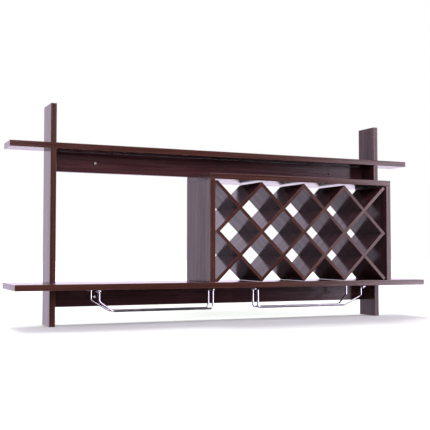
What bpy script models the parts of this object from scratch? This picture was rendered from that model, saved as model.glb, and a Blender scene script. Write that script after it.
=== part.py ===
"""Wall-hung wine rack with a diamond bottle lattice and two stemware holders, in metres, +Z up.

The wall plane is Y = 0 with the rack at -Y. The origin is the centre of the upper wall rail's back face.
"""

import math

import bpy
from mathutils import Vector

# ---------------------------------------------------------------- driving dimensions
BOARD = 0.015
SHELF_LENGTH = 1.206
SHELF_OVERHANG = 0.103
SHALLOW_DEPTH = 0.073
DEEP_DEPTH = 0.150
UPRIGHT_HEIGHT = 0.562
LOWER_SHELF_TOP = 0.109
UPPER_SHELF_TOP = 0.463
UPPER_RAIL_HEIGHT = 0.053
LOWER_RAIL_HEIGHT = 0.049
BOX_WIDTH = 0.578
SLAT = 0.009
SLAT_DEPTH = 0.128
CELLS_WIDE = 4
CELLS_HIGH = 2
WALL_HOLE_INSET = 0.121
WALL_HOLE_DIAMETER = 0.0065
WIRE_DIAMETER = 0.005
HOLDER_LENGTH = 0.322
HOLDER_MOUTH_INSET = 0.213
HOLDER_MOUTH_SPREAD = 0.070
HOLDER_RUN_SPREAD = 0.028
HOLDER_FRONT_INSET = 0.051
HOLDER_DROP = 0.058
HOLDER_LEG = 0.029
HOLDER_SLOPE = 0.042
HOLDER_BEND = 0.008
EYELET_RADIUS = 0.0055
EYELET_OFFSET = 0.0032

# ---------------------------------------------------------------- clearances
TOUCH = 0.0003
LAP_SIDE = 0.0003
LAP_END = 0.0002
LATTICE_TOP_GAP = 0.0030
LATTICE_SIDE_GAP = 0.0050
HOLE_SIDE = 0.0003
HOLE_END = 0.0010
EDGE_EASE = 0.0007
SLAT_EASE = 0.0004
OVERCUT = 0.004

# ---------------------------------------------------------------- hardware
CAM_DIAMETER = 0.0146
CAM_DEPTH = 0.0115
CAM_INSET = 0.024
BOLT_DIAMETER = 0.005
BOLT_HEAD_DIAMETER = 0.0068
BOLT_HEAD_LENGTH = 0.004
BOLT_ANCHOR = 0.010
BOLT_NECK_DIAMETER = 0.0042
BOLT_TIP_DIAMETER = 0.0035
BOLT_TIP_LENGTH = 0.0015
BOLT_HEAD_ROUND = 0.0010
RAIL_DOWEL_DIAMETER = 0.006
RAIL_DOWEL_LENGTH = 0.022
RAIL_DOWEL_ANCHOR = 0.009
DOWEL_CHAMFER = 0.0009
CAM_DROP = 0.010
CAM_SLOT_WIDTH = 0.0016
CAM_SLOT_DEPTH = 0.0016
CAM_SLOT_REACH = 0.0044
CAM_SIDES = 24
DOWEL_RISE = 0.012
BOX_DOWEL_DIAMETER = 0.008
BOX_DOWEL_LENGTH = 0.026
BOX_DOWEL_ANCHOR = 0.009
CONFIRMAT_DIAMETER = 0.005
CONFIRMAT_LENGTH = 0.046
CONFIRMAT_HEAD_DIAMETER = 0.0095
CONFIRMAT_HEAD_LENGTH = 0.0035
CONFIRMAT_TIP_DIAMETER = 0.0015
HEAD_CHAMFER = 0.0005
HEX_SOCKET_RADIUS = 0.0023
HEX_SOCKET_DEPTH = 0.0025
HEX_SIDES = 6
FIXING_SPREAD = 0.080
EYE_SCREW_DIAMETER = 0.004
EYE_SCREW_HEAD = 0.0070
EYE_SCREW_HEAD_LENGTH = 0.0026
EYE_SCREW_GRIP = 0.010
SCREW_TIP_DIAMETER = 0.0024
HEAD_CROWN_SHARE = 0.66
HEAD_RIM_SHARE = 0.60
BAR_SCREW_HEAD = 0.0140
SCREW_SIDES = 16
HOLE_SIDES = 16
SMOOTH_ANGLE = math.radians(40)
LOOP_STEPS = 14
BEND_STEPS = 5
BEND_ROOM = 0.45
EYELET_BEND_ROOM = 0.95
EYELET_SWEEP = math.radians(290)

# ---------------------------------------------------------------- derived positions
RAIL_LEVEL = UPPER_SHELF_TOP - BOARD - UPPER_RAIL_HEIGHT / 2
HALF_LENGTH = SHELF_LENGTH / 2
UPRIGHT_OUTER = HALF_LENGTH - SHELF_OVERHANG
UPRIGHT_INNER = UPRIGHT_OUTER - BOARD
UPRIGHT_CENTRE = (UPRIGHT_OUTER + UPRIGHT_INNER) / 2
Z_BOTTOM = -RAIL_LEVEL
Z_TOP = UPRIGHT_HEIGHT - RAIL_LEVEL
Z_LOWER_TOP = LOWER_SHELF_TOP - RAIL_LEVEL
Z_LOWER_UNDER = Z_LOWER_TOP - BOARD
Z_UPPER_TOP = UPPER_SHELF_TOP - RAIL_LEVEL
Z_UPPER_UNDER = Z_UPPER_TOP - BOARD
Z_UPPER_RAIL_BOTTOM = Z_UPPER_UNDER - UPPER_RAIL_HEIGHT
Z_LOWER_RAIL_BOTTOM = Z_LOWER_UNDER - LOWER_RAIL_HEIGHT
LAP_DEPTH = SHALLOW_DEPTH / 2
BOX_RIGHT = UPRIGHT_INNER - TOUCH
BOX_LEFT = BOX_RIGHT - BOX_WIDTH
Z_BOX_TOP = Z_UPPER_RAIL_BOTTOM - TOUCH
Z_BOX_UNDER = Z_BOX_TOP - BOARD
BOX_INNER_LEFT = BOX_LEFT + BOARD
BOX_INNER_RIGHT = BOX_RIGHT - BOARD
BOX_MIDDLE_Y = -DEEP_DEPTH / 2
RAIL_END = UPRIGHT_INNER - TOUCH
RAIL_AXIS_Y = -BOARD / 2
ROOM_WIDTH = BOX_INNER_RIGHT - BOX_INNER_LEFT
ROOM_HEIGHT = Z_BOX_UNDER - Z_LOWER_TOP

# ---------------------------------------------------------------- lattice grid
LATTICE_WIDTH = ROOM_WIDTH - LATTICE_SIDE_GAP - TOUCH
LATTICE_HEIGHT = ROOM_HEIGHT - LATTICE_TOP_GAP - TOUCH
LATTICE_FRONT = -DEEP_DEPTH
LATTICE_BACK = LATTICE_FRONT + SLAT_DEPTH
LATTICE_Y = (LATTICE_FRONT + LATTICE_BACK) / 2
SLOPES = (("fall", -1), ("rise", 1))
STEP_PASSES = 20


def lattice_steps():
    """Half-diagonals of one cell, so that the outer corners of the slats fill the given room."""
    corner = SLAT / 2
    step_x = LATTICE_WIDTH / (2 * CELLS_WIDE)
    step_z = LATTICE_HEIGHT / (2 * CELLS_HIGH)
    for _ in range(STEP_PASSES):
        angle = math.atan2(step_z, step_x)
        reach_x = corner / math.sin(angle)
        reach_z = corner / math.cos(angle)
        step_x = (LATTICE_WIDTH - 2 * reach_x) / (2 * CELLS_WIDE)
        step_z = (LATTICE_HEIGHT - 2 * reach_z) / (2 * CELLS_HIGH)
    return step_x, step_z


STEP_X, STEP_Z = lattice_steps()
SLAT_ANGLE = math.atan2(STEP_Z, STEP_X)
SLAT_REACH_X = SLAT / 2 / math.sin(SLAT_ANGLE)
SLAT_REACH_Z = SLAT / 2 / math.cos(SLAT_ANGLE)
LATTICE_X = BOX_INNER_LEFT + TOUCH + SLAT_REACH_X + CELLS_WIDE * STEP_X
LATTICE_Z = Z_LOWER_TOP + TOUCH + SLAT_REACH_Z + CELLS_HIGH * STEP_Z

# ---------------------------------------------------------------- holder levels
WIRE_LEVEL = Z_LOWER_UNDER - TOUCH - WIRE_DIAMETER / 2
LEG_FOOT = Z_LOWER_UNDER - HOLDER_LEG
RUN_LEVEL = Z_LOWER_UNDER - HOLDER_DROP + WIRE_DIAMETER / 2
HOLDER_Y = -DEEP_DEPTH + HOLDER_FRONT_INSET
HEAD_TOP = WIRE_LEVEL - WIRE_DIAMETER / 2 - TOUCH
HEAD_BOTTOM = HEAD_TOP - EYE_SCREW_HEAD_LENGTH

# ---------------------------------------------------------------- scene
for stale in list(bpy.data.objects):
    bpy.data.objects.remove(stale, do_unlink=True)

RACK = bpy.data.collections.new("wine_rack")
CUTTERS = bpy.data.collections.new("cutters")
bpy.context.scene.collection.children.link(RACK)
bpy.context.scene.collection.children.link(CUTTERS)


def material(name, colour, roughness, metallic):
    """A plain Principled material."""
    made = bpy.data.materials.new(name)
    made.use_nodes = True
    shader = made.node_tree.nodes["Principled BSDF"]
    shader.inputs["Base Color"].default_value = (*colour, 1.0)
    shader.inputs["Roughness"].default_value = roughness
    shader.inputs["Metallic"].default_value = metallic
    made.diffuse_color = (*colour, 1.0)
    return made


BOARD_FINISH = material("espresso_board", (0.030, 0.017, 0.014), 0.28, 0.0)
SLAT_FINISH = material("espresso_slat", (0.034, 0.019, 0.016), 0.32, 0.0)
WIRE_FINISH = material("bright_wire", (0.72, 0.72, 0.74), 0.18, 1.0)
SCREW_FINISH = material("plated_steel", (0.55, 0.55, 0.56), 0.32, 1.0)
CAM_FINISH = material("zinc_casting", (0.42, 0.42, 0.43), 0.45, 1.0)
DOWEL_FINISH = material("beech_dowel", (0.52, 0.36, 0.20), 0.70, 0.0)


# ---------------------------------------------------------------- shapes
def file_under(item, collection):
    """Keeps an object in one collection only."""
    for other in list(item.users_collection):
        other.objects.unlink(item)
    collection.objects.link(item)


def box_object(name, low, high):
    """A box between two corners with its origin at its centre and its scale applied."""
    low, high = Vector(low), Vector(high)
    bpy.ops.mesh.primitive_cube_add(size=1.0, location=(low + high) / 2)
    item = bpy.context.object
    item.name = name
    item.data.name = name
    item.scale = high - low
    bpy.ops.object.transform_apply(location=False, rotation=False, scale=True)
    return item


def rod_object(name, start, end, radius, sides=HOLE_SIDES):
    """A round rod between two points."""
    start, end = Vector(start), Vector(end)
    axis = end - start
    bpy.ops.mesh.primitive_cylinder_add(
        vertices=sides, radius=radius, depth=axis.length, location=(start + end) / 2
    )
    item = bpy.context.object
    item.name = name
    item.data.name = name
    item.rotation_mode = "QUATERNION"
    item.rotation_quaternion = Vector((0, 0, 1)).rotation_difference(axis)
    return item


def ease(item, width):
    """A narrow chamfer along every edge."""
    bevel = item.modifiers.new("eased_edges", "BEVEL")
    bevel.width = width
    bevel.segments = 1
    bevel.limit_method = "ANGLE"
    bevel.angle_limit = SMOOTH_ANGLE


def board(name, low, high):
    """A flat panel with eased edges."""
    item = box_object(name, low, high)
    ease(item, EDGE_EASE)
    item.data.materials.append(BOARD_FINISH)
    file_under(item, RACK)
    return item


def cut(target, cutter):
    """Cuts one hidden shape from a piece."""
    file_under(cutter, CUTTERS)
    cutter.hide_render = True
    cutter.display_type = "WIRE"
    boolean = target.modifiers.new(cutter.name, "BOOLEAN")
    boolean.operation = "DIFFERENCE"
    boolean.solver = "EXACT"
    boolean.object = cutter


def notch(target, low, high):
    """Cuts a rectangular slot."""
    cut(target, box_object(f"{target.name}_slot", low, high))


def bore(target, start, end, diameter):
    """Drills a round hole with running clearance for a piece of that diameter."""
    cut(target, rod_object(f"{target.name}_bore", start, end, diameter / 2 + HOLE_SIDE))


def turned(name, stations, finish, origin, direction, sides=SCREW_SIDES):
    """A turned piece from (distance from the origin, radius) pairs along a direction."""
    profile = [(0.0, stations[-1][0])]
    profile += [(radius, height) for height, radius in reversed(stations)]
    profile.append((0.0, stations[0][0]))
    mesh = bpy.data.meshes.new(name)
    edges = [(index, index + 1) for index in range(len(profile) - 1)]
    mesh.from_pydata([(radius, 0.0, height) for radius, height in profile], edges, [])
    item = bpy.data.objects.new(name, mesh)
    RACK.objects.link(item)
    turning = item.modifiers.new("turning", "SCREW")
    turning.axis = "Z"
    turning.angle = math.tau
    turning.steps = sides
    turning.render_steps = sides
    turning.use_merge_vertices = True
    turning.merge_threshold = 0.00001
    bpy.ops.object.select_all(action="DESELECT")
    item.select_set(True)
    bpy.context.view_layer.objects.active = item
    bpy.ops.object.modifier_apply(modifier=turning.name)
    item.data.shade_smooth()
    item.data.set_sharp_from_angle(angle=SMOOTH_ANGLE)
    item.data.materials.append(finish)
    item.location = origin
    item.rotation_mode = "QUATERNION"
    item.rotation_quaternion = Vector((0, 0, 1)).rotation_difference(Vector(direction))
    return item


def wooden_dowel(name, length, diameter, origin, direction):
    """A dowel with chamfered ends."""
    ends = diameter / 2 - DOWEL_CHAMFER
    stations = (
        (0.0, ends),
        (DOWEL_CHAMFER, diameter / 2),
        (length - DOWEL_CHAMFER, diameter / 2),
        (length, ends),
    )
    return turned(name, stations, DOWEL_FINISH, origin, direction)


def shelf_screw(name, head_diameter, x, y):
    """A crowned screw up into the underside of the lower shelf, with its pilot hole."""
    head = head_diameter / 2
    tip = Z_LOWER_UNDER + EYE_SCREW_GRIP - HEAD_BOTTOM
    stations = (
        (0.0, head * HEAD_CROWN_SHARE),
        (EYE_SCREW_HEAD_LENGTH * HEAD_RIM_SHARE, head),
        (EYE_SCREW_HEAD_LENGTH, head),
        (EYE_SCREW_HEAD_LENGTH, EYE_SCREW_DIAMETER / 2),
        (tip, SCREW_TIP_DIAMETER / 2),
    )
    pilot_end = Z_LOWER_UNDER + EYE_SCREW_GRIP + HOLE_END
    bore(lower_shelf, (x, y, Z_LOWER_UNDER - OVERCUT), (x, y, pilot_end), EYE_SCREW_DIAMETER)
    return turned(name, stations, SCREW_FINISH, (x, y, HEAD_BOTTOM), (0, 0, 1))


# ---------------------------------------------------------------- uprights and shelves
SIDES = (("left", -1), ("right", 1))
PLACES = (("front", -1), ("back", 1))
uprights = {}
for side, sign in SIDES:
    inner, outer = sorted((sign * UPRIGHT_INNER, sign * UPRIGHT_OUTER))
    uprights[side] = board(
        f"upright_{side}", (inner, -SHALLOW_DEPTH, Z_BOTTOM), (outer, 0, Z_TOP)
    )

upper_shelf = board(
    "upper_shelf",
    (-HALF_LENGTH, -SHALLOW_DEPTH, Z_UPPER_UNDER),
    (HALF_LENGTH, 0, Z_UPPER_TOP),
)
lower_shelf = board(
    "lower_shelf",
    (-HALF_LENGTH, -DEEP_DEPTH, Z_LOWER_UNDER),
    (HALF_LENGTH, 0, Z_LOWER_TOP),
)

for side, sign in SIDES:
    centre = sign * UPRIGHT_CENTRE
    for shelf, under, top in (
        (upper_shelf, Z_UPPER_UNDER, Z_UPPER_TOP),
        (lower_shelf, Z_LOWER_UNDER, Z_LOWER_TOP),
    ):
        # the upright keeps its back half and the shelf keeps its front half
        notch(
            uprights[side],
            (centre - BOARD, -SHALLOW_DEPTH - OVERCUT, under - LAP_SIDE),
            (centre + BOARD, -LAP_DEPTH + LAP_END, top + LAP_SIDE),
        )
        notch(
            shelf,
            (centre - BOARD / 2 - LAP_SIDE, -LAP_DEPTH - LAP_END, under - OVERCUT),
            (centre + BOARD / 2 + LAP_SIDE, OVERCUT, top + OVERCUT),
        )


# ---------------------------------------------------------------- wall rails and their fixings
def cam_fixing(label, rail, upright, sign, z):
    """A cam lock in the back of a rail and its bolt out of the upright."""
    cam_x = sign * (RAIL_END - CAM_INSET)
    bolt_root = sign * (UPRIGHT_INNER + BOLT_ANCHOR)
    bolt_length = BOLT_ANCHOR + TOUCH + CAM_INSET
    bore(rail, (cam_x, -CAM_DEPTH - HOLE_END, z), (cam_x, OVERCUT, z), CAM_DIAMETER)
    bore(
        rail,
        (cam_x, RAIL_AXIS_Y, z),
        (sign * (RAIL_END + OVERCUT), RAIL_AXIS_Y, z),
        BOLT_HEAD_DIAMETER,
    )
    bore(
        upright,
        (sign * (UPRIGHT_INNER - OVERCUT), RAIL_AXIS_Y, z),
        (bolt_root + sign * HOLE_END, RAIL_AXIS_Y, z),
        BOLT_DIAMETER,
    )
    turned(
        f"cam_bolt_{label}",
        (
            (0.0, BOLT_TIP_DIAMETER / 2),
            (BOLT_TIP_LENGTH, BOLT_DIAMETER / 2),
            (BOLT_ANCHOR - TOUCH, BOLT_DIAMETER / 2),
            (BOLT_ANCHOR, BOLT_NECK_DIAMETER / 2),
            (bolt_length - BOLT_HEAD_LENGTH, BOLT_NECK_DIAMETER / 2),
            (bolt_length - BOLT_HEAD_LENGTH + BOLT_HEAD_ROUND, BOLT_HEAD_DIAMETER / 2),
            (bolt_length - BOLT_HEAD_ROUND, BOLT_HEAD_DIAMETER / 2),
            (bolt_length, BOLT_NECK_DIAMETER / 2),
        ),
        SCREW_FINISH,
        (bolt_root, RAIL_AXIS_Y, z),
        (-sign, 0, 0),
    )
    cam = turned(
        f"cam_lock_{label}",
        (
            (0.0, CAM_DIAMETER / 2 - EDGE_EASE),
            (EDGE_EASE, CAM_DIAMETER / 2),
            (CAM_DEPTH - EDGE_EASE, CAM_DIAMETER / 2),
            (CAM_DEPTH, CAM_DIAMETER / 2 - EDGE_EASE),
        ),
        CAM_FINISH,
        (cam_x, -CAM_DEPTH, z),
        (0, 1, 0),
        CAM_SIDES,
    )
    bore(
        cam,
        (cam_x - sign * HOLE_END, RAIL_AXIS_Y, z),
        (cam_x + sign * (CAM_DIAMETER / 2 + OVERCUT), RAIL_AXIS_Y, z),
        BOLT_HEAD_DIAMETER,
    )
    notch(
        cam,
        (cam_x - CAM_SLOT_REACH, -CAM_SLOT_DEPTH, z - CAM_SLOT_WIDTH / 2),
        (cam_x + CAM_SLOT_REACH, OVERCUT, z + CAM_SLOT_WIDTH / 2),
    )


def rail_dowel(label, rail, upright, sign, z):
    """A dowel between a rail's end and the upright."""
    root = sign * (UPRIGHT_INNER + RAIL_DOWEL_ANCHOR)
    socket = RAIL_DOWEL_LENGTH - RAIL_DOWEL_ANCHOR
    bore(
        rail,
        (sign * (RAIL_END - socket - HOLE_END), RAIL_AXIS_Y, z),
        (sign * (RAIL_END + OVERCUT), RAIL_AXIS_Y, z),
        RAIL_DOWEL_DIAMETER,
    )
    bore(
        upright,
        (sign * (UPRIGHT_INNER - OVERCUT), RAIL_AXIS_Y, z),
        (root + sign * HOLE_END, RAIL_AXIS_Y, z),
        RAIL_DOWEL_DIAMETER,
    )
    wooden_dowel(
        f"rail_dowel_{label}",
        RAIL_DOWEL_LENGTH,
        RAIL_DOWEL_DIAMETER,
        (root, RAIL_AXIS_Y, z),
        (-sign, 0, 0),
    )


for level, z_low, z_high in (
    ("upper", Z_UPPER_RAIL_BOTTOM, Z_UPPER_UNDER - TOUCH),
    ("lower", Z_LOWER_RAIL_BOTTOM, Z_LOWER_UNDER - TOUCH),
):
    wall_rail = board(f"wall_rail_{level}", (-RAIL_END, -BOARD, z_low), (RAIL_END, 0, z_high))
    middle = (z_low + z_high) / 2
    for side, sign in SIDES:
        hole_x = sign * (UPRIGHT_INNER - WALL_HOLE_INSET)
        cut(
            wall_rail,
            rod_object(
                f"{wall_rail.name}_wall_hole",
                (hole_x, -BOARD - OVERCUT, middle),
                (hole_x, OVERCUT, middle),
                WALL_HOLE_DIAMETER / 2,
            ),
        )
        fixing = f"{level}_{side}"
        cam_fixing(fixing, wall_rail, uprights[side], sign, middle - CAM_DROP)
        rail_dowel(fixing, wall_rail, uprights[side], sign, middle + DOWEL_RISE)

# ---------------------------------------------------------------- bottle box
box_top = board(
    "box_top",
    (BOX_LEFT, -DEEP_DEPTH, Z_BOX_UNDER),
    (BOX_RIGHT, 0, Z_BOX_TOP),
)


def box_dowel(label, panel, x, y):
    """A dowel between the box top and the top of a side panel."""
    foot = Z_BOX_UNDER - (BOX_DOWEL_LENGTH - BOX_DOWEL_ANCHOR)
    ceiling = Z_BOX_UNDER + BOX_DOWEL_ANCHOR + HOLE_END
    bore(box_top, (x, y, Z_BOX_UNDER - OVERCUT), (x, y, ceiling), BOX_DOWEL_DIAMETER)
    bore(panel, (x, y, foot - HOLE_END), (x, y, Z_BOX_UNDER + OVERCUT), BOX_DOWEL_DIAMETER)
    wooden_dowel(
        f"box_dowel_{label}", BOX_DOWEL_LENGTH, BOX_DOWEL_DIAMETER, (x, y, foot), (0, 0, 1)
    )


def box_screw(label, panel, x, y):
    """A flat-headed screw up through the lower shelf into a side panel."""
    start = (x, y, Z_LOWER_UNDER - OVERCUT)
    bore(lower_shelf, start, (x, y, Z_LOWER_TOP + OVERCUT), CONFIRMAT_DIAMETER)
    bore(
        lower_shelf,
        start,
        (x, y, Z_LOWER_UNDER + CONFIRMAT_HEAD_LENGTH + HOLE_SIDE),
        CONFIRMAT_HEAD_DIAMETER,
    )
    bore(
        panel,
        (x, y, Z_LOWER_TOP - OVERCUT),
        (x, y, Z_LOWER_UNDER + CONFIRMAT_LENGTH + HOLE_END),
        CONFIRMAT_DIAMETER,
    )
    screw = turned(
        f"box_screw_{label}",
        (
            (0.0, CONFIRMAT_HEAD_DIAMETER / 2 - HEAD_CHAMFER),
            (HEAD_CHAMFER, CONFIRMAT_HEAD_DIAMETER / 2),
            (CONFIRMAT_HEAD_LENGTH, CONFIRMAT_HEAD_DIAMETER / 2),
            (CONFIRMAT_HEAD_LENGTH, CONFIRMAT_DIAMETER / 2),
            (CONFIRMAT_LENGTH - CONFIRMAT_DIAMETER, CONFIRMAT_DIAMETER / 2),
            (CONFIRMAT_LENGTH, CONFIRMAT_TIP_DIAMETER / 2),
        ),
        SCREW_FINISH,
        (x, y, Z_LOWER_UNDER),
        (0, 0, 1),
    )
    socket_floor = (x, y, Z_LOWER_UNDER + HEX_SOCKET_DEPTH)
    cut(
        screw,
        rod_object(f"{screw.name}_socket", start, socket_floor, HEX_SOCKET_RADIUS, HEX_SIDES),
    )


for side, low_x, high_x in (
    ("left", BOX_LEFT, BOX_INNER_LEFT),
    ("right", BOX_INNER_RIGHT, BOX_RIGHT),
):
    side_panel = board(
        f"box_side_{side}",
        (low_x, -DEEP_DEPTH, Z_LOWER_TOP + TOUCH),
        (high_x, 0, Z_BOX_UNDER - TOUCH),
    )
    for place, sign in PLACES:
        fix_x = (low_x + high_x) / 2
        fix_y = BOX_MIDDLE_Y + sign * FIXING_SPREAD / 2
        box_dowel(f"{side}_{place}", side_panel, fix_x, fix_y)
        box_screw(f"{side}_{place}", side_panel, fix_x, fix_y)


# ---------------------------------------------------------------- bottle lattice
def slat_ends(slope):
    """End nodes of every slat of one slope, from left to right, on the grid of half-diagonals."""
    ends = []
    start = -CELLS_WIDE - CELLS_HIGH + 2
    for offset in range(start, CELLS_WIDE + CELLS_HIGH, 2):
        first = max(-CELLS_WIDE, offset - CELLS_HIGH)
        last = min(CELLS_WIDE, offset + CELLS_HIGH)
        ends.append(((first, slope * (first - offset)), (last, slope * (last - offset))))
    return ends


def node_point(node):
    """The place of a grid node."""
    return Vector((LATTICE_X + node[0] * STEP_X, LATTICE_Y, LATTICE_Z + node[1] * STEP_Z))


def lattice_bar(name, ends, slope, thickness, extra, y_low, y_high):
    """A flat bar along one slope, with its two ends cut square past the end nodes."""
    first, last = node_point(ends[0]), node_point(ends[1])
    half_length = (last - first).length / 2 + extra
    item = box_object(
        name,
        (-half_length, y_low - LATTICE_Y, -thickness / 2),
        (half_length, y_high - LATTICE_Y, thickness / 2),
    )
    bpy.ops.object.transform_apply(location=True, rotation=False, scale=False)
    item.location = (first + last) / 2
    item.rotation_euler = (0, -slope * SLAT_ANGLE, 0)
    return item


def on_slat(node, ends, slope):
    """Whether a grid node lies on a slat."""
    first, last = ends
    same_line = node[1] - first[1] == slope * (node[0] - first[0])
    return same_line and first[0] <= node[0] <= last[0]


def crossings(ends, slope):
    """Grid nodes where a slat crosses slats of the other slope, with each one's number."""
    found = []
    for number, other in enumerate(slat_ends(-slope), 1):
        for x in range(-CELLS_WIDE, CELLS_WIDE + 1):
            for z in range(-CELLS_HIGH, CELLS_HIGH + 1):
                if on_slat((x, z), ends, slope) and on_slat((x, z), other, -slope):
                    found.append((number, (x, z)))
    return found


LAP_CUT_REACH = SLAT * 1.2 / math.sin(2 * SLAT_ANGLE)
for name, slope in SLOPES:
    # falling slats are open at the front half, rising slats at the back half
    lap_from, lap_to = LATTICE_FRONT - OVERCUT, LATTICE_Y + LAP_END
    if slope > 0:
        lap_from, lap_to = LATTICE_Y - LAP_END, LATTICE_BACK + OVERCUT
    for number, ends in enumerate(slat_ends(slope), 1):
        slat = lattice_bar(
            f"slat_{name}_{number}", ends, slope, SLAT, SLAT / 2, LATTICE_FRONT, LATTICE_BACK
        )
        ease(slat, SLAT_EASE)
        slat.data.materials.append(SLAT_FINISH)
        file_under(slat, RACK)
        for other_number, node in crossings(ends, slope):
            cutter = lattice_bar(
                f"{slat.name}_lap_{other_number}",
                (node, node),
                -slope,
                SLAT + 2 * LAP_SIDE,
                LAP_CUT_REACH,
                lap_from,
                lap_to,
            )
            cut(slat, cutter)


# ---------------------------------------------------------------- stemware holders
def rounded_path(corners, radius):
    """Replaces every inner corner of a path by an arc of a few points."""
    path = [corners[0]]
    share = EYELET_BEND_ROOM
    for before, corner, after in zip(corners, corners[1:], corners[2:]):
        into = (before - corner).normalized()
        out = (after - corner).normalized()
        turn = math.pi - into.angle(out)
        room = share * min((before - corner).length, (after - corner).length)
        share = BEND_ROOM
        reach = min(radius * math.tan(turn / 2), room)
        bend = reach / math.tan(turn / 2)
        centre = corner + (into + out).normalized() * (bend / math.cos(turn / 2))
        arm = corner + into * reach - centre
        normal = into.cross(out).normalized()
        for index in range(BEND_STEPS + 1):
            angle = -turn * index / BEND_STEPS
            path.append(centre + arm * math.cos(angle) + normal.cross(arm) * math.sin(angle))
    path.append(corners[-1])
    return path


def wire(name, path):
    """A round wire along a path."""
    curve = bpy.data.curves.new(name, "CURVE")
    curve.dimensions = "3D"
    curve.bevel_mode = "ROUND"
    curve.bevel_depth = WIRE_DIAMETER / 2
    curve.bevel_resolution = 2
    curve.use_fill_caps = True
    spline = curve.splines.new("POLY")
    spline.points.add(len(path) - 1)
    for point, place in zip(spline.points, path):
        point.co = (*place, 1.0)
    item = bpy.data.objects.new(name, curve)
    item.data.materials.append(WIRE_FINISH)
    RACK.objects.link(item)
    return item


def eyelet(x, y, outward, depth):
    """Points round an eyelet, ending where the wire leaves it along X."""
    points = []
    for index in range(LOOP_STEPS + 1):
        angle = EYELET_SWEEP * (1 - index / LOOP_STEPS)
        across = outward * EYELET_RADIUS * math.sin(angle)
        along = -depth * EYELET_RADIUS * math.cos(angle)
        points.append(Vector((x + across, y + along, WIRE_LEVEL)))
    return points


def holder_half(outward, depth, mouth_x, closed_x):
    """One half of a holder from its eyelet to the middle of the closed end."""
    mouth_y = HOLDER_Y + depth * HOLDER_MOUTH_SPREAD / 2
    run_y = HOLDER_Y + depth * HOLDER_RUN_SPREAD / 2
    slope_x = mouth_x - outward * HOLDER_SLOPE
    loop = eyelet(
        mouth_x + outward * EYELET_OFFSET, mouth_y + depth * EYELET_RADIUS, outward, depth
    )
    legs = [
        loop[-1],
        Vector((mouth_x, mouth_y, WIRE_LEVEL)),
        Vector((mouth_x, mouth_y, LEG_FOOT)),
        Vector((slope_x, run_y, RUN_LEVEL)),
        Vector((closed_x, run_y, RUN_LEVEL)),
        Vector((closed_x, run_y, WIRE_LEVEL)),
        Vector((closed_x, HOLDER_Y, WIRE_LEVEL)),
    ]
    return loop[:-1] + rounded_path(legs, HOLDER_BEND)


for side, outward in SIDES:
    mouth_x = outward * (HALF_LENGTH - HOLDER_MOUTH_INSET)
    closed_x = mouth_x - outward * HOLDER_LENGTH
    front = holder_half(outward, -1, mouth_x, closed_x)
    back = holder_half(outward, 1, mouth_x, closed_x)
    wire(f"stem_holder_{side}", front + back[-2::-1])
    for place, depth in PLACES:
        shelf_screw(
            f"eyelet_screw_{side}_{place}",
            EYE_SCREW_HEAD,
            mouth_x + outward * EYELET_OFFSET,
            HOLDER_Y + depth * (HOLDER_MOUTH_SPREAD / 2 + EYELET_RADIUS),
        )
    beside_bar = (WIRE_DIAMETER + EYE_SCREW_DIAMETER) / 2 + HOLE_SIDE
    shelf_screw(f"bar_screw_{side}", BAR_SCREW_HEAD, closed_x - outward * beside_bar, HOLDER_Y)

bpy.ops.object.select_all(action="DESELECT")
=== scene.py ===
"""Looks of a wall-hung wine rack with a diamond bottle lattice and two stemware holders.

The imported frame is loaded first, every board keeps its solid and takes its own finish, and the
bent wires and screws are modelled again in full detail around the same places.
"""

import logging
import math
from collections.abc import Sequence
from dataclasses import dataclass, field
from enum import Enum
from typing import Any

import bpy
from mathutils import Matrix, Vector


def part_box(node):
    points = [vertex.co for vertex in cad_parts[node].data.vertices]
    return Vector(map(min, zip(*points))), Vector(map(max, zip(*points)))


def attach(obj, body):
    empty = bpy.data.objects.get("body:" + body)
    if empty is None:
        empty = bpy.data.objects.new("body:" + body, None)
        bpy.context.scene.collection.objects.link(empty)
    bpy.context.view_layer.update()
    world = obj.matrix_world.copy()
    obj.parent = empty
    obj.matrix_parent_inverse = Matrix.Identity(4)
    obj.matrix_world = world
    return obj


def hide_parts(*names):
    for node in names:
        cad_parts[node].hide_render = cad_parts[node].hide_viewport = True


LOG = logging.getLogger("wine_rack")
Colour = tuple[float, float, float]
Point = tuple[float, float, float]
Span = tuple[float, float]
ROOT = "root"
SIDES: dict[str, int] = {"left": -1, "right": 1}
PLACES: dict[str, int] = {"front": -1, "back": 1}

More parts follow.
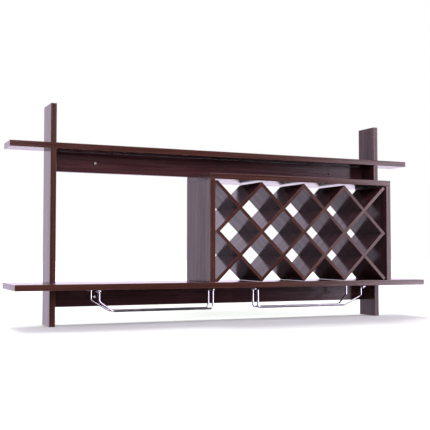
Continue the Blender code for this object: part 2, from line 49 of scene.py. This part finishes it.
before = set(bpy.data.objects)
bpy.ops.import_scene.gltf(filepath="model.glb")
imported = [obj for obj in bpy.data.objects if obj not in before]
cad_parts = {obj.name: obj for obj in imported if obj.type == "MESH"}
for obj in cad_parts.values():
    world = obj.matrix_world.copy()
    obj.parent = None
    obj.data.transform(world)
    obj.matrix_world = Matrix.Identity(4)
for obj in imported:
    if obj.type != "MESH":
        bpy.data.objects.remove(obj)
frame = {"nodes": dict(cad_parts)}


# ================================================================ shader maths
class Graph:
    """The nodes of one material or world, added through one method."""

    def __init__(self, tree: bpy.types.NodeTree) -> None:
        """Starts from an empty tree.

        Args:
            tree: The node tree to fill.
        """
        self.tree = tree
        tree.nodes.clear()

    def node(
        self, kind: str, settings: dict[str, Any] | None = None, **sockets: Any
    ) -> bpy.types.Node:
        """Adds one node.

        Args:
            kind: The node's type name.
            settings: Its properties, set before the sockets.
            sockets: Values or links by socket name, with _ for a space, or by number as i0, i1.

        Returns:
            The new node.
        """
        made = self.tree.nodes.new(kind)
        for key, value in (settings or {}).items():
            setattr(made, key, value)
        for key, value in sockets.items():
            if key[0] == "i" and key[1:].isdigit():
                socket = made.inputs[int(key[1:])]
            else:
                socket = made.inputs[key.replace("_", " ")]
            if isinstance(value, Field):
                self.tree.links.new(value.socket, socket)
            else:
                socket.default_value = value
        return made

    def out(self, node: bpy.types.Node, name: str | int = 0) -> "Field":
        """One output of a node as a field."""
        return Field(self, node.outputs[name])

    def maths(self, operation: str, *values: "Field | float") -> "Field":
        """One Math node over fields and numbers.

        Args:
            operation: The Math node's operation.
            values: Its inputs, in order.

        Returns:
            The result.
        """
        sockets = {f"i{index}": value for index, value in enumerate(values)}
        return self.out(self.node("ShaderNodeMath", {"operation": operation}, **sockets))

    def smooth(self, value: "Field", low: float, high: float) -> "Field":
        """A smooth step from 0 at low to 1 at high."""
        settings = {"interpolation_type": "SMOOTHSTEP"}
        return self.out(
            self.node("ShaderNodeMapRange", settings, i0=value, i1=low, i2=high, i3=0.0, i4=1.0)
        )

    def blend(
        self, factor: "Field | float", first: "Field | Colour", second: "Field | Colour"
    ) -> "Field":
        """Mixes two colours.

        Args:
            factor: 0 for the first and 1 for the second.
            first: A colour or a field.
            second: A colour or a field.

        Returns:
            The mixed colour.
        """
        values = [v if isinstance(v, Field) else (*v, 1.0) for v in (first, second)]
        settings = {"data_type": "RGBA", "clamp_factor": True}
        node = self.node("ShaderNodeMix", settings, i0=factor, i6=values[0], i7=values[1])
        return Field(self, node.outputs[2])

    def axes(self, vector: "Field") -> tuple["Field", "Field", "Field"]:
        """The three parts of a vector."""
        node = self.node("ShaderNodeSeparateXYZ", i0=vector)
        return self.out(node, 0), self.out(node, 1), self.out(node, 2)

    def place(self) -> "Field":
        """Object coordinates, in metres."""
        return self.out(self.node("ShaderNodeTexCoord"), "Object")

    def facing(self) -> "Field":
        """The surface normal."""
        return self.out(self.node("ShaderNodeNewGeometry"), "Normal")

    def stretched(self, size: Point, turn: float = 0.0) -> "Field":
        """Object coordinates turned about Y and measured in grains of the given size.

        Args:
            size: The grain's size along each turned axis, in metres.
            turn: The turn about Y, in radians.

        Returns:
            The turned and divided coordinates.
        """
        return self.out(
            self.node(
                "ShaderNodeMapping",
                {"vector_type": "TEXTURE"},
                Vector=self.place(),
                Rotation=(0.0, turn, 0.0),
                Scale=size,
            )
        )

    def noise(self, vector: "Field", detail: float = 3.0, roughness: float = 0.55) -> "Field":
        """Noise around one half at the scale of its coordinates."""
        return self.out(
            self.node("ShaderNodeTexNoise", Vector=vector, Scale=1.0, Detail=detail, Roughness=roughness)
        )

    def bump(self, height: "Field", distance: float, strength: float) -> "Field":
        """A normal raised by a height field.

        Args:
            height: The height, from 0 to 1.
            distance: The height of 1, in metres.
            strength: The share of the bump that shows.

        Returns:
            The raised normal.
        """
        node = self.node("ShaderNodeBump", Height=height, Distance=distance, Strength=strength)
        return self.out(node, "Normal")


class Field:
    """One socket whose values change over a surface, with plain arithmetic."""

    def __init__(self, graph: Graph, socket: bpy.types.NodeSocket) -> None:
        """Wraps a socket.

        Args:
            graph: The graph that holds it.
            socket: The output socket.
        """
        self.graph = graph
        self.socket = socket

    def __add__(self, other: "Field | float") -> "Field":
        """self + other."""
        return self.graph.maths("ADD", self, other)

    def __sub__(self, other: "Field | float") -> "Field":
        """self - other."""
        return self.graph.maths("SUBTRACT", self, other)

    def __rsub__(self, other: float) -> "Field":
        """other - self."""
        return self.graph.maths("SUBTRACT", other, self)

    def __mul__(self, other: "Field | float") -> "Field":
        """self * other."""
        return self.graph.maths("MULTIPLY", self, other)

    def __truediv__(self, other: "Field | float") -> "Field":
        """self / other."""
        return self.graph.maths("DIVIDE", self, other)

    def __neg__(self) -> "Field":
        """-self."""
        return self.graph.maths("MULTIPLY", self, -1.0)

    def __abs__(self) -> "Field":
        """The size of self."""
        return self.graph.maths("ABSOLUTE", self)

    __radd__ = __add__
    __rmul__ = __mul__


# ================================================================ finishes
class Grain(Enum):
    """The direction that a board's printed grain runs in, as a turn about Y from +X."""

    ALONG = 0.0
    UPRIGHT = math.pi / 2
    RISING = -math.radians(43.9)
    FALLING = math.radians(43.9)


class Band(Enum):
    """Which faces of a board are its banded edges."""

    FRONT = (0.0, -1.0, 0.0)
    UNDERSIDE = (0.0, 0.0, -1.0)
    LEFT = (-1.0, 0.0, 0.0)


@dataclass(frozen=True)
class Melamine:
    """Dark espresso melamine board with a fine printed grain and a redder edge band."""

    name: str
    grain: Grain
    band: Band = Band.FRONT
    face: Colour = (0.018, 0.0062, 0.0072)
    streak: Colour = (0.042, 0.0160, 0.0160)
    edge: Colour = (0.018, 0.0058, 0.0040)
    edge_streak: Colour = (0.038, 0.0150, 0.0095)
    # pale brown for the eased edges: partly rubbed wear, partly a painted highlight
    wear_and_highlight_colour: Colour = (0.150, 0.095, 0.082)
    roughness: float = 0.13
    gloss_index: float = 1.28
    coat: float = 0.30
    coat_roughness: float = 0.16
    # how strongly the painted edge highlight and rubbed wear show
    wear_and_highlight_share: float = 0.6
    pore_colour: Colour = (0.006, 0.004, 0.004)
    grain_length: float = 0.210
    grain_width: float = 0.0034
    emboss: float = 0.00005

    def make(self) -> bpy.types.Material:
        """Builds the material.

        Returns:
            The new material.
        """
        made = bpy.data.materials.new(self.name)
        made.use_nodes = True
        graph = Graph(made.node_tree)
        width, length, turn = self.grain_width, self.grain_length, self.grain.value
        wide = graph.noise(graph.stretched((length * 2.6, width * 9, width * 9), turn), 3.0)
        lines = graph.noise(graph.stretched((length, width, width), turn), 5.0, 0.62)
        fine = graph.noise(graph.stretched((length / 3, width / 5, width / 5), turn), 3.0)
        pores = graph.noise(graph.stretched((length / 14, width / 6, width / 6), turn), 1.0)
        tone = graph.smooth(lines * 0.60 + wide * 0.25 + fine * 0.15, 0.38, 0.64)
        pore = graph.smooth(pores, 0.60, 0.70)
        surface = graph.blend(tone, self.face, self.streak)
        surface = graph.blend(pore * 0.55, surface, self.pore_colour)
        rim = graph.blend(tone, self.edge, self.edge_streak)
        towards = graph.node(
            "ShaderNodeVectorMath", {"operation": "DOT_PRODUCT"}, i0=graph.facing(), i1=self.band.value
        )
        banded = graph.smooth(graph.out(towards, "Value"), 0.80, 0.95)
        colour = graph.blend(banded, surface, rim)
        # painted highlight and rubbed wear: the eased edges are lightened towards the pale brown
        colour = graph.blend(self._wear_and_highlight(graph) * self.wear_and_highlight_share, colour, self.wear_and_highlight_colour)
        rough = self.roughness + lines * 0.10 + pore * 0.08 - wide * 0.05
        relief = lines * 0.5 + fine * 0.3 - pore * 0.6
        shader = graph.node(
            "ShaderNodeBsdfPrincipled",
            Base_Color=colour,
            Roughness=rough,
            IOR=self.gloss_index,
            Coat_Weight=graph.smooth(lines * 0.55 + wide * 0.45, 0.36, 0.66) * self.coat,
            Coat_Roughness=self.coat_roughness,
            Normal=graph.bump(relief, self.emboss, 0.6),
        )
        graph.node("ShaderNodeOutputMaterial", Surface=graph.out(shader))
        return made

    def _wear_and_highlight(self, graph: Graph) -> Field:
        """A painted edge highlight with rubbed spots: the eased edges, whose faces look between the main
        directions, all lighten a little, and more at the spots.
        """
        x, y, z = graph.axes(graph.facing())
        flat = graph.maths("MAXIMUM", abs(y), graph.maths("MAXIMUM", abs(x), abs(z)))
        if self.grain in (Grain.RISING, Grain.FALLING):
            flat = abs(y) + graph.smooth(-abs(y), -0.35, -0.05)
        eased = 1 - graph.smooth(flat, 0.80, 0.93)
        spots = graph.smooth(graph.noise(graph.stretched((0.030, 0.030, 0.030)), 4.0), 0.46, 0.66)
        return eased * (spots * 0.7 + 0.3)


@dataclass(frozen=True)
class Metal:
    """A metal finish with brushed drawing lines, smudges and small pits."""

    name: str
    colour: Colour
    shade: Colour
    roughness: float
    line_length: float = 0.020
    line_width: float = 0.0004
    smudge: float = 0.012
    pits: float = 0.0

    def make(self) -> bpy.types.Material:
        """Builds the material.

        Returns:
            The new material.
        """
        made = bpy.data.materials.new(self.name)
        made.use_nodes = True
        graph = Graph(made.node_tree)
        drawn = graph.noise(
            graph.stretched((self.line_length, self.line_width, self.line_width)), 3.0
        )
        clouds = graph.noise(graph.stretched((self.smudge,) * 3), 4.0)
        grit = graph.noise(graph.stretched((0.0007,) * 3), 2.0)
        pitted = graph.smooth(grit, 0.60, 0.72) * self.pits
        tone = graph.smooth(clouds, 0.40, 0.68)
        shader = graph.node(
            "ShaderNodeBsdfPrincipled",
            Base_Color=graph.blend(tone * 0.6 + pitted * 0.4, self.colour, self.shade),
            Roughness=self.roughness + drawn * 0.06 + tone * 0.06 + pitted * 0.2,
            Metallic=1.0,
            Normal=graph.bump(drawn * 0.3 - pitted, 0.00003, 0.35),
        )
        graph.node("ShaderNodeOutputMaterial", Surface=graph.out(shader))
        return made


@dataclass(frozen=True)
class Beech:
    """Pale beech of the dowels, with grain and flecks."""

    name: str
    pale: Colour = (0.56, 0.38, 0.22)
    dark: Colour = (0.34, 0.20, 0.10)

    def make(self) -> bpy.types.Material:
        """Builds the material.

        Returns:
            The new material.
        """
        made = bpy.data.materials.new(self.name)
        made.use_nodes = True
        graph = Graph(made.node_tree)
        grain = graph.noise(graph.stretched((0.012, 0.0006, 0.0006)), 4.0)
        fleck = graph.smooth(graph.noise(graph.stretched((0.003, 0.0004, 0.0004)), 2.0), 0.58, 0.7)
        tone = graph.smooth(grain, 0.38, 0.66)
        shader = graph.node(
            "ShaderNodeBsdfPrincipled",
            Base_Color=graph.blend(fleck * 0.6, graph.blend(tone, self.pale, self.dark), self.dark),
            Roughness=0.62 + fleck * 0.15,
            Normal=graph.bump(grain, 0.0001, 0.5),
        )
        graph.node("ShaderNodeOutputMaterial", Surface=graph.out(shader))
        return made


# ================================================================ modelling helpers
def deselect() -> None:
    """Leaves edit mode and selects nothing."""
    if bpy.context.mode != "OBJECT":
        bpy.ops.object.mode_set(mode="OBJECT")
    bpy.ops.object.select_all(action="DESELECT")


def settle(item: bpy.types.Object) -> None:
    """Puts an object's place into its mesh."""
    deselect()
    item.select_set(True)
    bpy.context.view_layer.objects.active = item
    bpy.ops.object.transform_apply(location=True, rotation=True, scale=True)


def apply_modifiers(item: bpy.types.Object) -> None:
    """Applies every modifier of one object, in order."""
    deselect()
    item.select_set(True)
    bpy.context.view_layer.objects.active = item
    for name in [modifier.name for modifier in item.modifiers]:
        bpy.ops.object.modifier_apply(modifier=name)


def shade(item: bpy.types.Object, degrees: float) -> None:
    """Shades an object smooth up to an angle between faces."""
    deselect()
    item.select_set(True)
    bpy.context.view_layer.objects.active = item
    bpy.ops.object.shade_smooth_by_angle(angle=math.radians(degrees))


def hand_in(
    item: bpy.types.Object, finish: bpy.types.Material, node: str
) -> bpy.types.Object:
    """Dresses a finished piece and puts it in place of a frame node.

    Args:
        item: The finished piece.
        finish: Its material.
        node: The frame node that it stands for.

    Returns:
        The piece.
    """
    item.data.materials.clear()
    item.data.materials.append(finish)
    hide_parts(node)
    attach(item, ROOT)
    LOG.info("piece %s stands for %s, %d faces", item.name, node, len(item.data.polygons))
    return item


# ================================================================ boards
@dataclass
class Carcass:
    """The uprights, shelves, rails and box panels, which keep their solids."""

    nodes: dict[str, bpy.types.Object]
    lengthwise: tuple[str, ...] = ("upper_shelf", "lower_shelf", "box_top")
    standing: tuple[str, ...] = ("upright_left", "upright_right", "box_side_left", "box_side_right")
    rails: tuple[str, ...] = ("wall_rail_upper", "wall_rail_lower")

    def dress(self) -> None:
        """Gives each board the finish of its grain and banded edges."""
        for names, finish in (
            (self.lengthwise, Melamine("espresso_lengthwise", Grain.ALONG)),
            (self.standing, Melamine("espresso_standing", Grain.UPRIGHT)),
            (self.rails, Melamine("espresso_rail", Grain.ALONG, Band.UNDERSIDE)),
        ):
            made = finish.make()
            for name in names:
                refinish(self.nodes[name], made)


@dataclass
class Lattice:
    """The crossing slats of the bottle cells, which keep their solids."""

    nodes: dict[str, bpy.types.Object]
    count: int = 5
    slopes: dict[str, Grain] = field(
        default_factory=lambda: {"fall": Grain.FALLING, "rise": Grain.RISING}
    )

    def dress(self) -> None:
        """Gives each slat a grain along its own slope."""
        for slope, grain in self.slopes.items():
            made = Melamine(f"espresso_{slope}", grain, grain_width=0.0026).make()
            for number in range(1, self.count + 1):
                refinish(self.nodes[f"slat_{slope}_{number}"], made)


def refinish(item: bpy.types.Object, finish: bpy.types.Material) -> None:
    """Gives a frame node a new finish."""
    item.data.materials.clear()
    item.data.materials.append(finish)
    LOG.info("frame node %s takes %s", item.name, finish.name)


# ================================================================ bent wire
class Wire:
    """One round wire, bent from end to end as on a jig."""

    SIDES = 20
    STEP = math.radians(11)
    FEWEST_STEPS = 3
    END_BEND_ROOM = 0.95
    BEND_ROOM = 0.45
    WELD = 0.00001
    END_ROUND = 0.0007
    END_ROUND_STEPS = 3
    SHARP = math.radians(60)
    SMOOTH_DEGREES = 50

    def __init__(self, name: str, start: Vector, heading: Vector, radius: float) -> None:
        """Starts the wire as a filled ring.

        Args:
            name: The piece's name.
            start: The middle of its first end.
            heading: The direction it sets off in.
            radius: The wire's radius.
        """
        self.at = Vector(start)
        deselect()
        bpy.ops.mesh.primitive_circle_add(
            vertices=self.SIDES,
            radius=radius,
            fill_type="NGON",
            location=start,
            rotation=heading.to_track_quat("Z", "Y").to_euler(),
        )
        self.item = bpy.context.object
        self.item.name = name
        self.item.data.name = name
        settle(self.item)
        bpy.ops.object.mode_set(mode="EDIT")
        bpy.ops.mesh.select_mode(type="FACE")
        bpy.ops.mesh.select_all(action="SELECT")

    def straight(self, to: Vector) -> None:
        """Runs straight to a point."""
        bpy.ops.mesh.extrude_region_move(TRANSFORM_OT_translate={"value": to - self.at})
        self.at = Vector(to)

    def turn(self, centre: Vector, axis: Vector, angle: float) -> None:
        """Bends round a centre.

        Args:
            centre: The middle of the bend.
            axis: The axis, right-handed for a positive turn.
            angle: The turn in radians.
        """
        steps = max(self.FEWEST_STEPS, math.ceil(angle / self.STEP))
        bpy.ops.mesh.spin(steps=steps, angle=angle, center=centre, axis=-axis)
        self.at = centre + Matrix.Rotation(angle, 3, axis) @ (self.at - centre)

    def follow(self, corners: Sequence[Vector], bend: float) -> None:
        """Runs through corners with a rounded bend at each and ends at the last.

        Args:
            corners: The points to pass.
            bend: The radius of each bend, less where a leg is too short for it.
        """
        path = [self.at.copy(), *corners]
        ends = (corners[0], corners[-2])
        for before, corner, after in zip(path, path[1:], path[2:]):
            into = (corner - before).normalized()
            out = (after - corner).normalized()
            angle = into.angle(out)
            share = self.END_BEND_ROOM if corner in ends else self.BEND_ROOM
            room = share * min((corner - before).length, (after - corner).length)
            reach = min(bend * math.tan(angle / 2), room)
            radius = reach / math.tan(angle / 2)
            self.straight(corner - into * reach)
            axis = into.cross(out).normalized()
            self.turn(self.at + axis.cross(into) * radius, axis, angle)
        self.straight(path[-1])

    def finish(self) -> bpy.types.Object:
        """Rounds the cut ends and shades the wire.

        Returns:
            The finished piece.
        """
        bpy.ops.mesh.select_all(action="SELECT")
        bpy.ops.mesh.remove_doubles(threshold=self.WELD)
        bpy.ops.mesh.normals_make_consistent(inside=False)
        bpy.ops.object.mode_set(mode="OBJECT")
        rounding = self.item.modifiers.new("cut_ends", "BEVEL")
        rounding.width = self.END_ROUND
        rounding.segments = self.END_ROUND_STEPS
        rounding.limit_method = "ANGLE"
        rounding.angle_limit = self.SHARP
        apply_modifiers(self.item)
        shade(self.item, self.SMOOTH_DEGREES)
        return self.item


@dataclass
class StemHolder:
    """One bent-wire stemware holder with an eyelet at each mouth foot."""

    side: str
    shelf_low: Vector
    shelf_high: Vector
    finish: bpy.types.Material
    diameter: float = 0.005
    gap: float = 0.0003
    length: float = 0.322
    mouth_inset: float = 0.213
    mouth_spread: float = 0.070
    run_spread: float = 0.028
    front_inset: float = 0.051
    drop: float = 0.058
    leg: float = 0.029
    slope: float = 0.042
    bend: float = 0.008
    eyelet: float = 0.0055
    eyelet_offset: float = 0.0032
    eyelet_turn: float = math.radians(290)

    def corners(self, depth: int) -> list[Vector]:
        """Corners of one half from the eyelet's tangent to the middle of the closed end.

        Args:
            depth: -1 for the front half and 1 for the back half.

        Returns:
            The corners in order.
        """
        outward = SIDES[self.side]
        under = self.shelf_low.z
        half = (self.shelf_high.x - self.shelf_low.x) / 2
        level = under - self.gap - self.diameter / 2
        run = under - self.drop + self.diameter / 2
        middle = self.shelf_low.y + self.front_inset
        mouth_x = outward * (half - self.mouth_inset)
        closed_x = mouth_x - outward * self.length
        mouth_y = middle + depth * self.mouth_spread / 2
        run_y = middle + depth * self.run_spread / 2
        return [
            Vector((mouth_x + outward * self.eyelet_offset, mouth_y, level)),
            Vector((mouth_x, mouth_y, level)),
            Vector((mouth_x, mouth_y, under - self.leg)),
            Vector((mouth_x - outward * self.slope, run_y, run)),
            Vector((closed_x, run_y, run)),
            Vector((closed_x, run_y, level)),
            Vector((closed_x, middle, level)),
        ]

    def eye(self, depth: int) -> Vector:
        """The middle of one eyelet."""
        return self.corners(depth)[0] + Vector((0, depth * self.eyelet, 0))

    def build(self) -> bpy.types.Object:
        """Bends the wire from the front eyelet to the back eyelet.

        Returns:
            The piece in place of its frame node.
        """
        outward = SIDES[self.side]
        front, back = self.corners(-1), self.corners(1)
        eye = self.eye(-1)
        axis = Vector((0, 0, float(-outward)))
        tangent = front[0]
        start = eye + Matrix.Rotation(-self.eyelet_turn, 3, axis) @ (tangent - eye)
        heading = axis.cross(start - eye).normalized()
        wire = Wire(f"wire_{self.side}", start, heading, self.diameter / 2)
        wire.turn(eye, axis, self.eyelet_turn)
        wire.follow(front[1:-1] + back[-2::-1], self.bend)
        wire.turn(self.eye(1), axis, self.eyelet_turn)
        return hand_in(wire.finish(), self.finish, f"stem_holder_{self.side}")


# ================================================================ screws
@dataclass
class PanScrew:
    """A domed screw with a cross recess, standing up into the shelf."""

    name: str
    node: str
    finish: bpy.types.Material
    rim: float = 0.0016
    neck: float = 0.0020
    recess_width: float = 0.0011
    recess_arm: float = 0.0017
    recess_depth: float = 0.0014
    head: float = 0.0026
    tip: float = 0.0024
    tip_share: float = 0.35
    sides: int = 32
    rim_steps: int = 5
    smooth_degrees: float = 40

    def build(self) -> bpy.types.Object:
        """Models the head, the recess and the shank inside the frame node's box.

        Returns:
            The piece in place of its frame node.
        """
        low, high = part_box(self.node)
        middle = (low + high) / 2
        radius = (high.x - low.x) / 2
        head = self.head
        deselect()
        bpy.ops.mesh.primitive_cylinder_add(
            vertices=self.sides, radius=radius, depth=head, location=(middle.x, middle.y, low.z + head / 2)
        )
        item = bpy.context.object
        item.name = self.name
        item.data.name = self.name
        settle(item)
        self._select(item, lambda centre, normal: normal.z < -0.9)
        bpy.ops.mesh.bevel(offset=self.rim, segments=self.rim_steps, affect="EDGES")
        self._select(item, lambda centre, normal: normal.z > 0.9)
        bpy.ops.mesh.inset(thickness=radius - self.neck)
        bpy.ops.mesh.extrude_region_move(
            TRANSFORM_OT_translate={"value": (0, 0, high.z - low.z - head - self.tip)}
        )
        bpy.ops.mesh.extrude_region_move(TRANSFORM_OT_translate={"value": (0, 0, self.tip)})
        bpy.ops.transform.resize(value=(self.tip_share, self.tip_share, 1.0))
        deselect()
        self._recess(item, Vector((middle.x, middle.y, low.z)))
        shade(item, self.smooth_degrees)
        return hand_in(item, self.finish, self.node)

    def _recess(self, item: bpy.types.Object, at: Vector) -> None:
        """Cuts the cross recess.

        Args:
            item: The screw.
            at: The middle of the head's outer face.
        """
        deselect()
        bpy.ops.mesh.primitive_cube_add(size=self.recess_width, location=at)
        tool = bpy.context.object
        tool.scale = (1.0, 1.0, 2 * self.recess_depth / self.recess_width)
        settle(tool)
        self._select(tool, lambda centre, normal: abs(normal.z) < 0.5)
        bpy.ops.mesh.extrude_faces_move(TRANSFORM_OT_shrink_fatten={"value": self.recess_arm})
        bpy.ops.object.mode_set(mode="OBJECT")
        recess = item.modifiers.new("recess", "BOOLEAN")
        recess.operation = "DIFFERENCE"
        recess.solver = "EXACT"
        recess.object = tool
        apply_modifiers(item)
        bpy.data.objects.remove(tool, do_unlink=True)

    @staticmethod
    def _select(item: bpy.types.Object, wanted: Any) -> None:
        """Selects the faces of an object that a test of centre and normal wants, in edit mode."""
        deselect()
        item.select_set(True)
        bpy.context.view_layer.objects.active = item
        bpy.ops.object.mode_set(mode="EDIT")
        bpy.ops.mesh.select_mode(type="FACE")
        bpy.ops.mesh.select_all(action="DESELECT")
        bpy.ops.object.mode_set(mode="OBJECT")
        for face in item.data.polygons:
            face.select = bool(wanted(face.center, face.normal))
        bpy.ops.object.mode_set(mode="EDIT")


# ================================================================ studio
@dataclass
class Studio:
    """The pale floor, the soft lights and the camera."""

    floor_level: float
    eye: Point = (-0.98594, -1.99634, -0.23023)
    yaw: float = 22.49805
    pitch: float = 2.44722
    roll: float = 0.17328
    sensor: float = 36.0
    lens: float = 65.804
    shift: Span = (0.1163, 0.0046)
    far_clip: float = 100.0
    floor_size: float = 24.0
    floor_gap: float = 0.0002
    floor_cuts: int = 7
    floor_colour: Colour = (0.49, 0.53, 0.475)
    tint: Colour = (0.93, 0.82, 1.0)
    ambient: float = 0.03
    backdrop_level: float = 1.34
    side_share: float = 1.12
    side_turn: Span = (80.0, 105.0)
    side_low: Span = (-0.29, -0.20)
    behind_turn: Span = (161.0, 169.0)
    behind_low: Span = (-0.80, -0.65)
    right_level: float = 14.0
    right_near: Span = (33.0, 43.0)
    right_far: Span = (62.0, 78.0)
    right_low: Span = (-0.45, -0.25)
    right_high: Span = (0.45, 0.65)
    key_level: float = 8.2
    key_side: float = -12.0
    key_rise: float = 30.0
    key_spread: Span = (33.0, 20.0)

    def camera(self) -> None:
        """Places the camera, slightly left of the rack and low."""
        yaw, pitch, roll = (math.radians(v) for v in (self.yaw, self.pitch, self.roll))
        data = bpy.data.cameras.new("camera")
        data.sensor_width = self.sensor
        data.lens = self.lens
        data.shift_x, data.shift_y = self.shift
        data.clip_end = self.far_clip
        item = bpy.data.objects.new("camera", data)
        bpy.context.scene.collection.objects.link(item)
        turn = (
            Matrix.Rotation(-yaw, 3, "Z")
            @ Matrix.Rotation(math.pi / 2 + pitch, 3, "X")
            @ Matrix.Rotation(roll, 3, "Z")
        )
        item.matrix_world = Matrix.Translation(self.eye) @ turn.to_4x4()
        bpy.context.scene.camera = item

    def floor(self) -> None:
        """Lays the floor under the uprights."""
        deselect()
        level = self.floor_level - self.floor_gap
        bpy.ops.mesh.primitive_plane_add(size=self.floor_size, location=(0, 0, level))
        item = bpy.context.object
        item.name = "floor"
        settle(item)
        bpy.ops.object.mode_set(mode="EDIT")
        bpy.ops.mesh.subdivide(number_cuts=self.floor_cuts)
        bpy.ops.object.mode_set(mode="OBJECT")
        made = bpy.data.materials.new("studio_floor")
        made.use_nodes = True
        graph = Graph(made.node_tree)
        shader = graph.node(
            "ShaderNodeBsdfPrincipled",
            Base_Color=(*self.floor_colour, 1.0),
            Roughness=1.0,
            Specular_IOR_Level=0.0,
        )
        below = graph.out(graph.node("ShaderNodeNewGeometry"), "Backfacing")
        clear = graph.node("ShaderNodeBsdfTransparent")
        seen = graph.node("ShaderNodeMixShader", i0=below, i1=graph.out(shader), i2=graph.out(clear))
        graph.node("ShaderNodeOutputMaterial", Surface=graph.out(seen))
        item.data.materials.append(made)
        item.visible_glossy = False

    def light(self) -> None:
        """Sets the soft surroundings and one broad overhead light."""
        world = bpy.data.worlds.new("studio")
        bpy.context.scene.world = world
        world.use_nodes = True
        graph = Graph(world.node_tree)
        direction = graph.out(graph.node("ShaderNodeTexCoord"), "Generated")
        x, y, z = graph.axes(direction)
        around = graph.maths("ARCTAN2", x, -y) * (180 / math.pi)
        sides = graph.smooth(abs(around), *self.side_turn) * graph.smooth(z, *self.side_low)
        behind = graph.smooth(abs(around), *self.behind_turn) * graph.smooth(z, *self.behind_low)
        backdrop = graph.maths("MAXIMUM", sides * self.side_share, behind)
        right = graph.smooth(around, *self.right_near) * (1 - graph.smooth(around, *self.right_far))
        right = right * graph.smooth(z, *self.right_low) * (1 - graph.smooth(z, *self.right_high))
        key = graph.node(
            "ShaderNodeVectorMath", {"operation": "DOT_PRODUCT"}, i0=direction, i1=self.key_direction()
        )
        rim, core = (math.cos(math.radians(angle)) for angle in self.key_spread)
        key_light = graph.smooth(graph.out(key, "Value"), rim, core)
        level = self.ambient + backdrop * self.backdrop_level
        level = level + right * self.right_level + key_light * self.key_level
        tint = (*self.tint, 1.0)
        soft = graph.node("ShaderNodeBackground", Color=tint, Strength=level)
        plain = graph.node("ShaderNodeBackground", Color=(1.0, 1.0, 1.0, 1.0), Strength=1.0)
        seen = graph.out(graph.node("ShaderNodeLightPath"), "Is Camera Ray")
        mixed = graph.node("ShaderNodeMixShader", i0=seen, i1=graph.out(soft), i2=graph.out(plain))
        graph.node("ShaderNodeOutputWorld", Surface=graph.out(mixed))
        self.overhead(strength=3.6, spread=30.0, tilt=24.0)

    def key_direction(self) -> Point:
        """The direction of the main light, above and left of the camera."""
        side, rise = math.radians(self.key_side), math.radians(self.key_rise)
        return (math.sin(side) * math.cos(rise), -math.cos(side) * math.cos(rise), math.sin(rise))

    @staticmethod
    def overhead(strength: float, spread: float, tilt: float) -> None:
        """Adds one broad light from above and behind, which draws the shadow.

        Args:
            strength: The light's strength.
            spread: The angle it fills, in degrees, which softens the shadow.
            tilt: How far it leans behind the rack, in degrees.
        """
        data = bpy.data.lights.new("overhead", "SUN")
        data.energy = strength
        data.angle = math.radians(spread)
        item = bpy.data.objects.new("overhead", data)
        item.rotation_euler = (math.radians(-tilt), 0.0, 0.0)
        item.visible_glossy = False
        bpy.context.scene.collection.objects.link(item)


def plain(box: Sequence[Sequence[float]]) -> list[list[float]]:
    """A box as plain lists of numbers."""
    return [[float(value) for value in corner] for corner in box]


def main() -> None:
    """Builds every sub-assembly in order and reports each piece."""
    logging.basicConfig(level=logging.INFO, format="%(message)s")
    nodes = frame["nodes"]
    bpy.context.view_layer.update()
    Carcass(nodes).dress()
    Lattice(nodes).dress()

    chrome = Metal("drawn_chrome", (0.42, 0.42, 0.44), (0.32, 0.31, 0.33), 0.10).make()
    steel = Metal("plated_screw_steel", (0.66, 0.66, 0.68), (0.45, 0.44, 0.45), 0.26).make()
    zinc = Metal("cast_zinc", (0.46, 0.46, 0.47), (0.30, 0.30, 0.31), 0.42, pits=1.0).make()
    beech = Beech("dowel_beech").make()
    shelf_low, shelf_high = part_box("lower_shelf")
    for side in SIDES:
        StemHolder(side, shelf_low, shelf_high, chrome).build()
        PanScrew(f"closed_end_screw_{side}", f"bar_screw_{side}", steel).build()
        for place in PLACES:
            PanScrew(f"eye_screw_{side}_{place}", f"eyelet_screw_{side}_{place}", steel).build()
    for name, item in nodes.items():
        if name.startswith("cam_lock"):
            refinish(item, zinc)
        elif name.startswith(("cam_bolt", "box_screw")):
            refinish(item, steel)
        elif "dowel" in name:
            refinish(item, beech)

    studio = Studio(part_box("upright_left")[0].z)
    studio.camera()
    studio.floor()
    studio.light()
    bpy.context.scene.view_settings.view_transform = "Standard"


if __name__ == "__main__":
    main()
